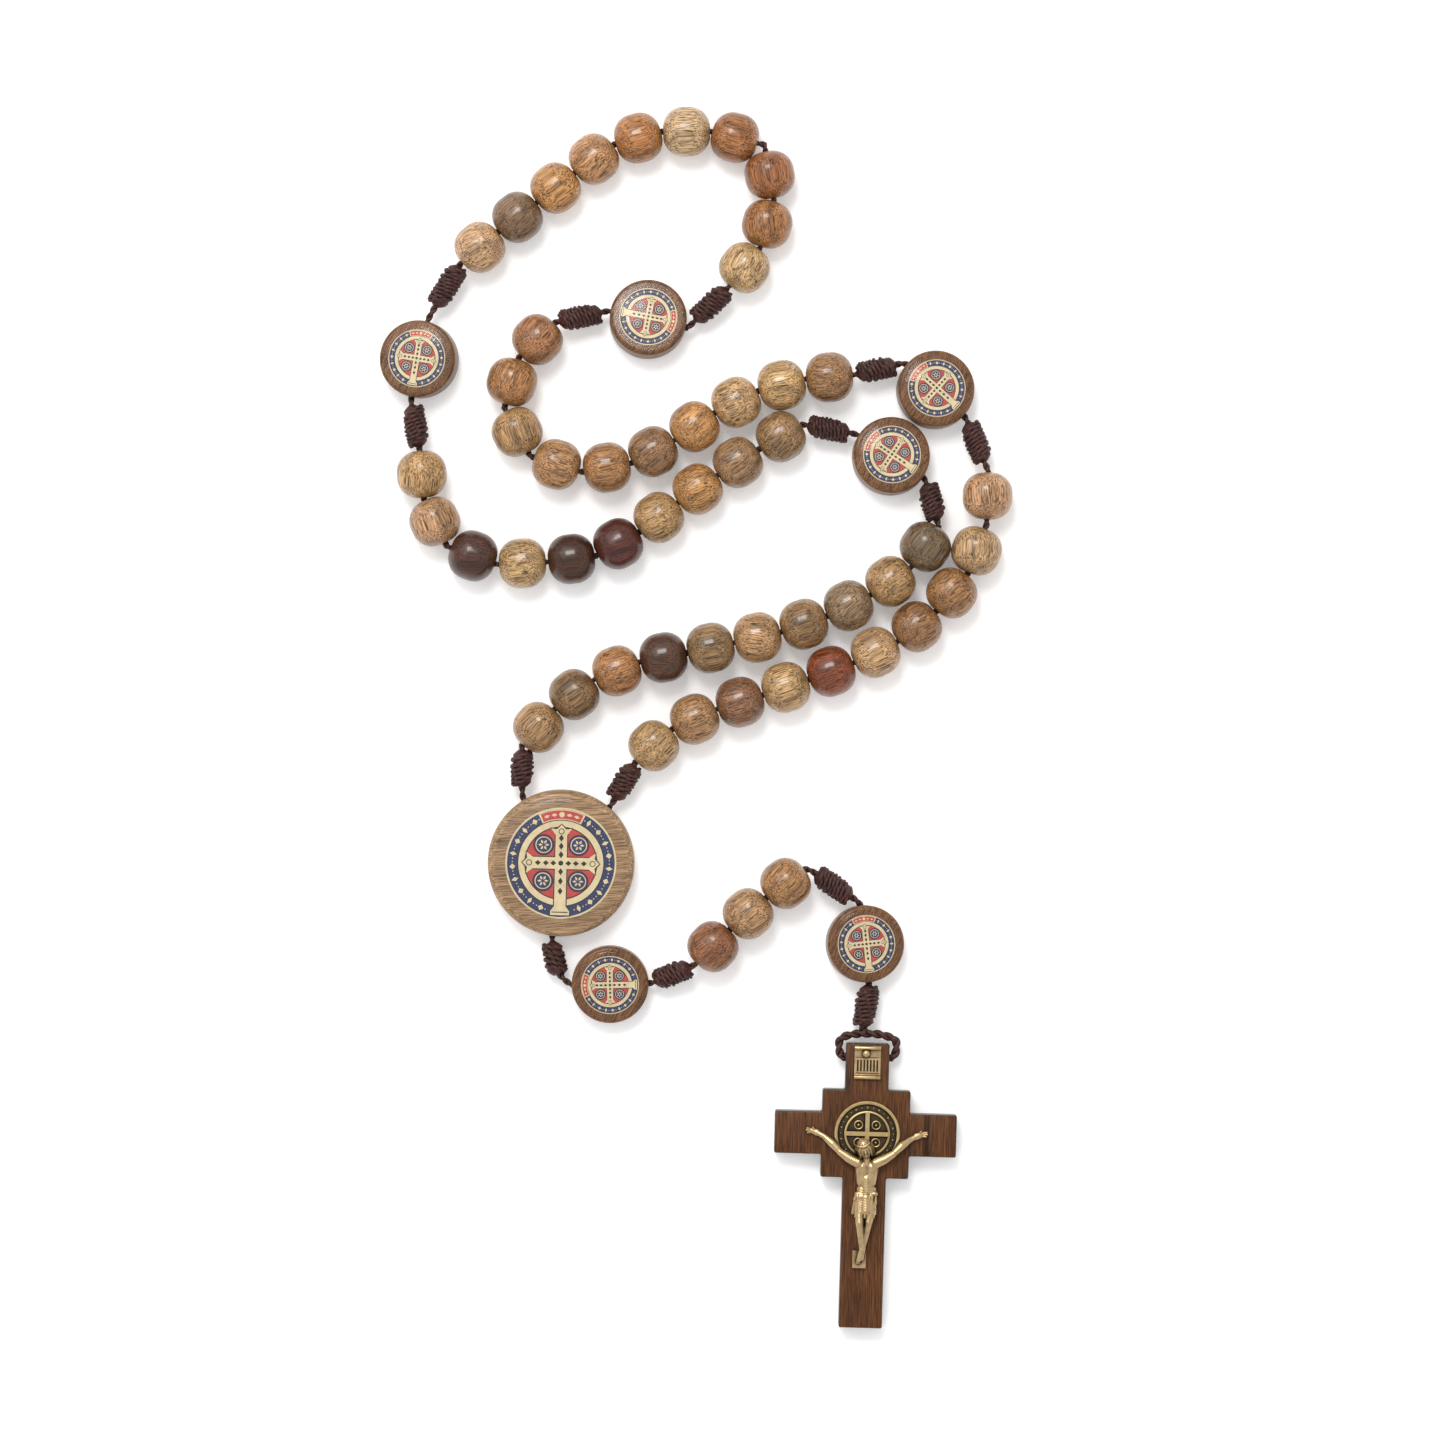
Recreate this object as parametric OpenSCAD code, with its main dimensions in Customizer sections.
// Five-decade cord rosary: wooden beads, domed wooden medallions, barrel knots and a wooden crucifix.
// It lies flat on z = 0 with the crucifix towards -Y. All sizes are in millimetres and angles in degrees.

/* [Beads] */
// Diameter of a bead across its hole
bead_d = 10; // [9.6:0.1:10]
// Length of a bead along its hole
bead_l = 9.4; // [9:0.1:9.5]
// Radius of the rounding that forms a bead's side
bead_round = 4.1; // [3.6:0.1:4.1]
// Diameter of the hole through a bead
bead_hole_d = 1.6; // [1.5:0.1:1.8]
// Bare cord between two beads that lie in line
bead_gap = 0.2; // [0.1:0.05:0.4]

/* [Cord and knots] */
// Diameter of the stringing cord
cord_d = 1.4; // [1:0.1:1.4]
// Diameter of the doubled cord that holds the crucifix
loop_cord_d = 1.8; // [1.6:0.1:1.8]
// Diameter of a barrel knot
knot_d = 4.6; // [4:0.1:4.8]
// Length of a barrel knot in the loop
knot_l = 9.2; // [8.4:0.1:9.2]
// Diameter of a knot at its ends
knot_end_d = 1.9; // [1.6:0.1:2.2]
// Length over which a knot narrows to its ends
knot_taper = 1.2; // [0.8:0.1:1.6]
// Distance of a cord's end from the pivot it bends at
pivot_gap = 0.25; // [0.25:0.01:0.3]

/* [Small medallions] */
// Diameter of a small wooden medallion
small_d = 15.4; // [14:0.1:15.4]
// Thickness of a small medallion
small_t = 5.2; // [4.4:0.1:5.4]
// Radius on the rim's edges
small_edge = 0.8; // [0.6:0.1:1.2]
// Diameter of the printed disc
small_face_d = 11.6; // [10:0.1:12]
// Diameter of the clear dome
small_dome_d = 13.8; // [12.4:0.1:13.8]
// Height of the clear dome
small_dome_h = 1.1; // [0.8:0.1:1.2]

/* [Centre medallion] */
// Diameter of the centre medallion
centre_d = 29.4; // [27:0.1:29.4]
// Thickness of the centre medallion
centre_t = 6.4; // [5.4:0.1:6.4]
// Radius on the rim's edges
centre_edge = 1.6; // [1:0.1:2]
// Diameter of its printed disc
centre_face_d = 22.2; // [20:0.1:23]
// Diameter of its clear dome
centre_dome_d = 26; // [24:0.1:26]
// Height of its clear dome
centre_dome_h = 1.7; // [1.2:0.1:2]
// Height of the lip round both sizes of dome
dome_lip = 0.35; // [0.3:0.05:0.5]
// Thickness of every printed disc
face_t = 0.25; // [0.15:0.05:0.4]

/* [Crucifix] */
// Height of the wooden cross
cross_h = 56.9; // [54:0.1:58]
// Width across its arms
cross_w = 36.4; // [34:0.1:38]
// Width of the upright
upright_w = 8.7; // [8:0.1:9]
// Height of the cross arms
arm_h = 8.5; // [8:0.1:9]
// Side of the square block at the crossing
block_w = 17.6; // [16:0.1:18.4]
// Thickness of the wood
cross_t = 5.4; // [4.8:0.1:5.6]
// Distance from the crossing's centre to the top of the cross
cross_top = 18.1; // [17.4:0.1:18.6]
// Distance of the cord's hole from the top of the cross
hole_drop = 2.9; // [2.8:0.1:3]
// Diameter of the round medal behind the figure
medal_d = 13.2; // [12:0.1:13.6]
// Thickness of the round medal's base
medal_t = 0.7; // [0.5:0.1:1]
// Width of the title plate
plate_w = 5.3; // [4.6:0.1:6]
// Height of the title plate
plate_h = 6.8; // [6:0.1:7.4]

/* [Hidden] */

WOOD = "peru";
DARK_WOOD = "saddlebrown";
CORD = "rosybrown";
PRINT = "steelblue";
RESIN = "lightcyan";
METAL = "goldenrod";
fine = 48;
tube_sides = 8;
knot_clearance = 0.05;
loop_clearance = 0.1;

// Where the centre medallion lies, and the directions of its three cord holes
centre = [-26.8, -28.9];
centre_holes = [121, 49, 263];
// Medallions: [x, y, heading of the cord through it, tilt about that cord]
medals = [
    [39.2, 52.5, 147, 7], [-55.2, 71.9, 78, -9], [-9.4, 79.9, 168, 9], [48.1, 65.8, -42, -7],
    [-17, -53.2, 1, 2], [34, -45.1, -84, -6]
];
// Decades: where the first bead's cord begins, and each bead's heading along the cord
starts = [[-34.6, -5.4], [21.4, 58.8], [-46.8, 91.1], [-28, 79.2], [58.7, 49.4]];
headings = [
    [48, 37, 21, 11, 12, 13, 19, 26, 34, 56],
    [-150, -148, -145, -143, -151, -173, -177, 160, 116, 95],
    [40, 37, 38, 36, 15, 0, -14, -80, -106, -129],
    [-136, -106, -62, -17, 10, 28, 34, 27, 14, 5],
    [-92, -111, -130, -142, -154, -160, -161, -163, -156, -138]
];
// Extra bare cord after each bead, where the cord shows
slack = [
    [0, 0, 0, 0, 0, 0, 0, 0, 0, 0],
    [0.4, 0, 0, 0, 0, 0.2, 0.2, 0.2, 0, 0],
    [0, 0, 0, 0, 0, 0, 0, 0, 0, 0],
    [0, 0, 0.2, 0.2, 0, 0, 0, 0, 0, 0],
    [1.4, 0, 0, 0, 0, 0, 0, 0, 0, 0]
];
// Each decade's first and last knot: bare cord between it and the beads, and its extra length
knot_fits = [
    [[0.5, -0.9], [1, -0.8]], [[0.8, 0], [0.3, 0]], [[0.4, 0.8], [0.3, 0.4]], [[0.5, 0.2], [0.3, -0.4]],
    [[1.8, 0], [0.3, -0.5]]
];
tail_start = [-0.1, -49.3];
tail_headings = [45, 41, 37];
tail_slack = [0, 0, 0];
tail_knot_l = [7.3, 8.6, 9.3, 7.9];
// Where the tail's first knot ends, beside the medallion that its cord then turns into
knot_turn = [-27.7, -51.6, 3];
// The crossing's centre, how far the cross is turned, and the loop's corners seen from the cord's hole
cross_at = [34.1, -83.1];
cross_turn = -1.6;
loop_corners = [
    [4.75, 0], [5.5, 0.75], [5.75, 2.2], [5.35, 3.75], [2.4, 4.65], [-1, 4.75],
    [-3.7, 4.4], [-5.5, 3.5], [-5.75, 1.8], [-5.45, 0.7], [-4.75, 0]
];
loop_apex = loop_corners[5];

medal_x = 0.3;
medal_y = 0.1;
relief = 0.25;
nail_at = [-0.3, 16.1];
nail_d = 0.8;
nail_depth = 1.2;
plate_y = 14.3;
plate_t = 0.6;
foot_block_t = 1;

bead_z = bead_d / 2;
centre_z = centre_t / 2;
cross_z = cross_t / 2;
rim_gap = 0.45;
tail_gap = 0.5;
cord_tip = 0.45;
tip_d = 0.7;

function dir(a) = [cos(a), sin(a), 0];
function flat(p, z) = [p[0], p[1], z];
function wrapped(a) = (a + 540) % 360 - 180;
// How high a tilted disc's middle stands when its lower edge touches the table
function disc_z(d, t, edge, tilt) =
    (d / 2 - edge) * sin(abs(tilt)) + (t / 2 - edge) * cos(tilt) + edge;
function medal_z(k) = disc_z(small_d, small_t, small_edge, medals[k][3]);
function medal_at(k) = flat(medals[k], medal_z(k));
// The pivots in the bare cord before (-1) and after (1) a small medallion
function medal_pivot(k, side) =
    medal_at(k) + side * (small_d / 2 + rim_gap) * dir(medals[k][2]);
function centre_pivot(i) =
    flat(centre, centre_z) + (centre_d / 2 + rim_gap) * dir(centre_holes[i]);
// Half of the bare cord between two beads whose holes turn by an angle, so that they just clear
function half_gap(turn) =
    (bead_l + bead_gap + (bead_d - bead_l) * min(1, abs(turn) / 60)) / (2 * cos(turn / 2)) - bead_l / 2;
function gap_before(heads, slacks, ends, i) =
    i == 0 ? ends : half_gap(wrapped(heads[i] - heads[i - 1])) + slacks[i - 1] / 2;
function gap_after(heads, slacks, ends, i) =
    i == len(heads) - 1 ? ends : half_gap(wrapped(heads[i + 1] - heads[i])) + slacks[i] / 2;
// The cord's bends between the beads of a string, one more than there are beads
function bends(start, heads, slacks, ends, i = 0) =
    i == len(heads) ? [flat(start, bead_z)]
    : let (step = gap_before(heads, slacks, ends, i) + bead_l + gap_after(heads, slacks, ends, i))
      concat([flat(start, bead_z)], bends(flat(start, bead_z) + step * dir(heads[i]), heads, slacks, ends, i + 1));
function bead_centres(start, heads, slacks, ends) =
    let (b = bends(start, heads, slacks, ends))
    [for (i = [0:len(heads) - 1]) b[i] + (gap_before(heads, slacks, ends, i) + bead_l / 2) * dir(heads[i])];

function decade_bends(k) = bends(starts[k], headings[k], slack[k], bead_gap);
tail_bends = bends(tail_start, tail_headings, tail_slack, tail_gap);
// The pivots at the two ends of each decade
decade_pivots = [
    [centre_pivot(0), medal_pivot(0, -1)], [medal_pivot(0, 1), medal_pivot(1, -1)],
    [medal_pivot(1, 1), medal_pivot(2, -1)], [medal_pivot(2, 1), medal_pivot(3, -1)],
    [medal_pivot(3, 1), centre_pivot(1)]
];
// Where the last knot bends on the loop
loop_pivot =
    flat(cross_at, cross_z)
    + loop_apex[0] * dir(cross_turn)
    + (cross_top - hole_drop + loop_apex[1] + loop_cord_d / 2 + pivot_gap) * dir(90 + cross_turn);
// The straight stretches of the tail that hold a knot, from pivot to pivot
tail_spans = [
    [centre_pivot(2), medal_pivot(4, -1)], [medal_pivot(4, 1), tail_bends[0]],
    [tail_bends[3], medal_pivot(5, -1)], [medal_pivot(5, 1), loop_pivot]
];

// Lay a child's z axis from one point towards another
module towards(a, b) {
    v = b - a;
    translate(a) rotate([0, acos(v[2] / norm(v)), atan2(v[1], v[0])]) children();
}

function unit(v) = v / norm(v);

// An eight-sided cord along a list of points, narrowed at both ends
module swept_cord(points, d) {
    n = len(points);
    first = unit(points[1] - points[0]);
    last = unit(points[n - 1] - points[n - 2]);
    path = concat(
        [points[0], points[0] + cord_tip * first],
        [for (i = [1:1:n - 2]) points[i]],
        [points[n - 1] - cord_tip * last, points[n - 1]]
    );
    m = len(path);
    function before(i) = unit(path[max(i, 1)] - path[max(i, 1) - 1]);
    function after(i) = unit(path[min(i, m - 2) + 1] - path[min(i, m - 2)]);
    function stretch(i) = 1 / cos(acos(min(1, before(i) * after(i))) / 2);
    function radius(i) = (i == 0 || i == m - 1 ? tip_d : d) / 2;
    rings = [
        for (i = [0:m - 1])
            let (t = unit(before(i) + after(i)), side = unit(cross([0, 0, 1], t)), up = cross(t, side))
            for (s = [0:tube_sides - 1])
                let (a = 360 * s / tube_sides)
                path[i] + radius(i) * (cos(a) * stretch(i) * side + sin(a) * up)
    ];
    walls = [
        for (i = [0:m - 2], s = [0:tube_sides - 1])
            let (a = i * tube_sides, s2 = (s + 1) % tube_sides)
            [a + s, a + s2, a + tube_sides + s2, a + tube_sides + s]
    ];
    ends = [
        [for (s = [tube_sides - 1:-1:0]) s],
        [for (s = [0:tube_sides - 1]) (m - 1) * tube_sides + s]
    ];
    color(CORD) polyhedron(rings, concat(ends, walls), convexity = 8);
}

// A straight rod of cord from one point to another, narrowed at both ends
module cord_rod(a, b) {
    l = norm(b - a);
    color(CORD) towards(a, b) rotate_extrude($fn = 24) polygon([
        [0, 0], [tip_d / 2, 0], [cord_d / 2, cord_tip], [cord_d / 2, l - cord_tip], [tip_d / 2, l], [0, l]
    ]);
}

// The outside of a barrel knot in half section, from its foot up the z axis
function knot_side(foot, l) = [
    [knot_end_d / 2, foot], [knot_d / 2, foot + knot_taper],
    [knot_d / 2, foot + l - knot_taper], [knot_end_d / 2, foot + l]
];

// A barrel knot with the cord's hole through it
module barrel_knot(l) {
    inner = cord_d / 2 + knot_clearance;
    color(CORD) rotate_extrude($fn = fine) polygon(concat([[inner, 0]], knot_side(0, l), [[inner, l]]));
}

// A solid knot with a stub of cord out of each end; the first one's last stub turns into a medallion
module tail_knot(k) {
    a = tail_spans[k][0];
    b = tail_spans[k][1];
    l = tail_knot_l[k];
    span = norm(b - a);
    if (k == 0) {
        color(CORD) towards(a, knot_turn) rotate_extrude($fn = fine) polygon(concat(
            [[0, pivot_gap], [tip_d / 2, pivot_gap]], knot_side(tail_gap, l), [[0, tail_gap + l]]
        ));
        cord_rod(knot_turn, b - pivot_gap * unit(b - knot_turn));
    } else {
        color(CORD) towards(a, b) rotate_extrude($fn = fine) polygon(concat(
            [[0, pivot_gap], [tip_d / 2, pivot_gap]], knot_side((span - l) / 2, l),
            [[tip_d / 2, span - pivot_gap], [0, span - pivot_gap]]
        ));
    }
}

// One bead with its hole along z
module bead() {
    middle = bead_d / 2 - bead_round;
    color(WOOD) rotate_extrude($fn = fine) difference() {
        union() {
            for (s = [-1, 1]) translate([middle, s * (bead_l / 2 - bead_round)]) circle(r = bead_round, $fn = fine);
            translate([0, -bead_l / 2]) square([middle, bead_l]);
            translate([0, bead_round - bead_l / 2]) square([bead_d / 2, bead_l - 2 * bead_round]);
        }
        translate([-bead_d, -bead_l]) square([bead_d + bead_hole_d / 2, 2 * bead_l]);
    }
}

module bead_at(p, heading) {
    translate(p) rotate([0, 90, heading]) bead();
}

module decade_beads(k) {
    centres = bead_centres(starts[k], headings[k], slack[k], bead_gap);
    for (i = [0:len(centres) - 1]) bead_at(centres[i], headings[k][i]);
}

module decade_cord(k) {
    a = decade_pivots[k][0];
    b = decade_pivots[k][1];
    v = decade_bends(k);
    last = v[len(v) - 1];
    swept_cord(concat([a + pivot_gap * unit(v[0] - a)], v, [b + pivot_gap * unit(last - b)]), cord_d);
}

module decade_knots(k) {
    v = decade_bends(k);
    ends = [v[0], v[len(v) - 1]];
    for (e = [0, 1]) {
        fit = knot_fits[k][e];
        towards(ends[e], decade_pivots[k][e]) translate([0, 0, fit[0]]) barrel_knot(knot_l + fit[1]);
    }
}

// A round wooden disc with rounded edges, centred on its cord
module disc_body(d, t, edge) {
    rotate_extrude($fn = 2 * fine) {
        square([d / 2 - edge, t / 2]);
        translate([0, -t / 2]) square([d / 2 - edge, t / 2]);
        translate([0, edge - t / 2]) square([d / 2, t - 2 * edge]);
        for (s = [-1, 1]) intersection() {
            translate([d / 2 - edge, s * (t / 2 - edge)]) circle(r = edge, $fn = fine);
            translate([0, -t]) square([d, 2 * t]);
        }
    }
}

module face_disc(d, t) {
    color(PRINT) translate([0, 0, t / 2]) cylinder(d = d, h = face_t, $fn = 2 * fine);
}

// A clear cap over the printed disc
module dome(d, h, face_d, t) {
    rise = h - dome_lip;
    r = (d * d / 4 + rise * rise) / (2 * rise);
    color(RESIN) translate([0, 0, t / 2]) difference() {
        intersection() {
            translate([0, 0, h - r]) sphere(r = r, $fn = 4 * fine);
            cylinder(d = d, h = 2 * h, $fn = 2 * fine);
        }
        translate([0, 0, -face_t]) cylinder(d = face_d, h = 2 * face_t, $fn = 2 * fine);
    }
}

// Put children where a small medallion lies: y along its cord, z out of its face
module at_medal(k) {
    translate(medal_at(k)) rotate([0, 0, medals[k][2] - 90]) rotate([0, medals[k][3], 0]) children();
}

module medal_disc(k) {
    color(DARK_WOOD) at_medal(k) difference() {
        disc_body(small_d, small_t, small_edge);
        translate([0, small_d, 0]) rotate([90, 0, 0]) cylinder(d = bead_hole_d, h = 2 * small_d, $fn = 24);
    }
}

module medal_face(k) {
    at_medal(k) face_disc(small_face_d, small_t);
}

module medal_dome(k) {
    at_medal(k) dome(small_dome_d, small_dome_h, small_face_d, small_t);
}

module medal_cord(k) {
    along = pivot_gap * dir(medals[k][2]);
    cord_rod(medal_pivot(k, -1) + along, medal_pivot(k, 1) - along);
}

module at_centre() {
    translate(flat(centre, centre_z)) children();
}

module centre_disc() {
    color(WOOD) at_centre() difference() {
        disc_body(centre_d, centre_t, centre_edge);
        for (a = centre_holes)
            rotate([0, 90, a]) cylinder(d = bead_hole_d, h = centre_d, $fn = 24);
    }
}

module centre_face() {
    at_centre() face_disc(centre_face_d, centre_t);
}

module centre_dome() {
    at_centre() dome(centre_dome_d, centre_dome_h, centre_face_d, centre_t);
}

// The three ends of cord that meet inside the centre medallion
module centre_cord() {
    for (i = [0:2]) {
        along = dir(centre_holes[i]);
        cord_rod(flat(centre, centre_z) + 2 * along, centre_pivot(i) - pivot_gap * along);
    }
}

module tail_bead(k) {
    bead_at(bead_centres(tail_start, tail_headings, tail_slack, tail_gap)[k], tail_headings[k]);
}

module tail_beads_cord() {
    a = pivot_gap * dir(tail_headings[0]);
    b = pivot_gap * dir(tail_headings[2]);
    swept_cord([tail_bends[0] + a, tail_bends[1], tail_bends[2], tail_bends[3] - b], cord_d);
}

// Put children in the crucifix's own frame: origin at the crossing on the table, y up the cross
module at_cross() {
    translate(flat(cross_at, 0)) rotate([0, 0, cross_turn]) children();
}

// The doubled cord round the top of the cross and through its hole
module cross_loop() {
    at_cross() translate([0, cross_top - hole_drop, cross_z]) ring_cord(loop_corners, loop_cord_d);
}

// A closed cord in the plane z = 0 through a list of points
module ring_cord(ring, d) {
    n = len(ring);
    function before(i) = unit(ring[i] - ring[(i + n - 1) % n]);
    function after(i) = unit(ring[(i + 1) % n] - ring[i]);
    points = [
        for (i = [0:n - 1])
            let (
                along = unit(before(i) + after(i)), side = [-along[1], along[0]],
                wide = 1 / cos(acos(min(1, before(i) * after(i))) / 2)
            )
            for (s = [0:tube_sides - 1])
                let (a = 360 * s / tube_sides, q = ring[i] + d / 2 * cos(a) * wide * side)
                [q[0], q[1], d / 2 * sin(a)]
    ];
    walls = [
        for (i = [0:n - 1], s = [0:tube_sides - 1])
            let (a = i * tube_sides, b = (i + 1) % n * tube_sides, s2 = (s + 1) % tube_sides)
            [a + s, b + s, b + s2, a + s2]
    ];
    color(CORD) polyhedron(points, walls, convexity = 8);
}

module cross_outline() {
    translate([-upright_w / 2, cross_top - cross_h]) square([upright_w, cross_h]);
    translate([-cross_w / 2, -arm_h / 2]) square([cross_w, arm_h]);
    translate([-block_w / 2, -block_w / 2]) square(block_w);
}

// The wooden cross, with the cord's hole through its top and a blind hole for the nail
module wooden_cross() {
    color(DARK_WOOD) at_cross() difference() {
        linear_extrude(cross_t) cross_outline();
        translate([-upright_w, cross_top - hole_drop, cross_z]) rotate([0, 90, 0])
            cylinder(d = loop_cord_d + 2 * loop_clearance, h = 2 * upright_w, $fn = fine);
        translate([nail_at[0], nail_at[1], cross_t - nail_depth])
            cylinder(d = nail_d, h = cross_t, $fn = 24);
    }
}

// The round medal: a base, a raised rim, an inner ring and a raised cross
module cross_medal() {
    rim = 0.6;
    ring_d = medal_d * 0.66;
    color(METAL) at_cross() translate([medal_x, medal_y, cross_t]) {
        cylinder(d = medal_d, h = medal_t, $fn = 2 * fine);
        translate([0, 0, medal_t]) {
            for (d = [medal_d, ring_d]) difference() {
                cylinder(d = d, h = relief, $fn = 2 * fine);
                translate([0, 0, -relief]) cylinder(d = d - 2 * rim, h = 3 * relief, $fn = 2 * fine);
            }
            for (a = [0, 90]) rotate([0, 0, a])
                translate([-ring_d / 2 + rim / 2, -rim / 2, 0]) cube([ring_d - rim, rim, relief]);
        }
    }
}

// A smooth run of flesh between balls given as [x, y, z, radius]
module limb(balls) {
    for (i = [0:len(balls) - 2]) hull() for (b = [balls[i], balls[i + 1]])
        translate([b[0], b[1], b[2]]) sphere(r = b[3], $fn = 10);
}

// The cast figure in simple limbs with its foot block, hollowed to sit over the round medal
module corpus() {
    limbs = [
        [[-11.5, 0.8, 0.5, 0.5], [-6.5, -2.6, 1.8, 0.65], [-1.7, -5.2, 2, 0.9]],
        [[12, 0.4, 0.5, 0.5], [6.9, -2.5, 1.8, 0.65], [2.3, -5.1, 2, 0.9]],
        [[-0.7, -6.3, 1.5, 1.4], [-0.2, -11, 1.4, 1.1], [-0.4, -14.6, 1.4, 1.3]],
        [[1.2, -6.2, 1.5, 1.4], [1.2, -11, 1.4, 1.1], [1.3, -14.6, 1.4, 1.3]],
        [[0.2, -6.6, 1.7, 1.5], [0.5, -11, 1.5, 1.3], [0.4, -15, 1.6, 1.5]],
        [[-0.2, -1.6, 2.4, 1.2], [0, -3.2, 2.4, 1], [0.3, -5.4, 2, 0.8]],
        [[-0.6, -15.6, 1.5, 1], [-0.4, -18.2, 2.2, 0.85], [-0.2, -23.2, 1.6, 0.6], [-0.2, -25.2, 1.4, 0.5]],
        [[1.2, -15.6, 1.5, 1], [0.8, -18.2, 1.9, 0.85], [0.2, -23, 1.5, 0.6]]
    ];
    color(METAL) at_cross() translate([0, 0, cross_t]) difference() {
        union() {
            for (l = limbs) limb(l);
            translate([-1.65, -26.8, 0]) cube([2.9, 3.8, foot_block_t]);
        }
        translate([medal_x, medal_y, -1]) cylinder(d = medal_d + 0.2, h = medal_t + relief + 1.02, $fn = fine);
        translate([-cross_w / 2, -cross_h, -2]) cube([cross_w, 2 * cross_h, 2]);
    }
}

module title_plate() {
    color(METAL) at_cross() translate([0, plate_y, cross_t]) difference() {
        union() {
            translate([-plate_w / 2, -plate_h / 2, 0]) cube([plate_w, plate_h, plate_t]);
            for (s = [-1, 1]) translate([-plate_w / 2, s * (plate_h / 2 - plate_t / 2), plate_t]) rotate([0, 90, 0])
                cylinder(d = plate_t, h = plate_w, $fn = 24);
        }
        translate([nail_at[0], nail_at[1] - plate_y, -plate_t])
            cylinder(d = nail_d + 0.1, h = 4 * plate_t, $fn = 24);
    }
}

module title_nail() {
    head_r = 0.85;
    color(METAL) at_cross() translate([nail_at[0], nail_at[1], cross_t]) {
        translate([0, 0, -nail_depth]) cylinder(d = nail_d, h = nail_depth + plate_t + 0.1, $fn = 24);
        translate([0, 0, plate_t]) intersection() {
            sphere(r = head_r, $fn = fine);
            cylinder(r = head_r, h = head_r, $fn = fine);
        }
    }
}

centre_disc();
centre_face();
centre_dome();
centre_cord();
for (k = [0:4]) {
    decade_beads(k);
    decade_cord(k);
    decade_knots(k);
}
for (k = [0:5]) {
    medal_disc(k);
    medal_face(k);
    medal_dome(k);
    medal_cord(k);
}
for (k = [0:3]) tail_knot(k);
for (k = [0:2]) tail_bead(k);
tail_beads_cord();
cross_loop();
wooden_cross();  // cross
cross_medal();
corpus();
title_plate();
title_nail();
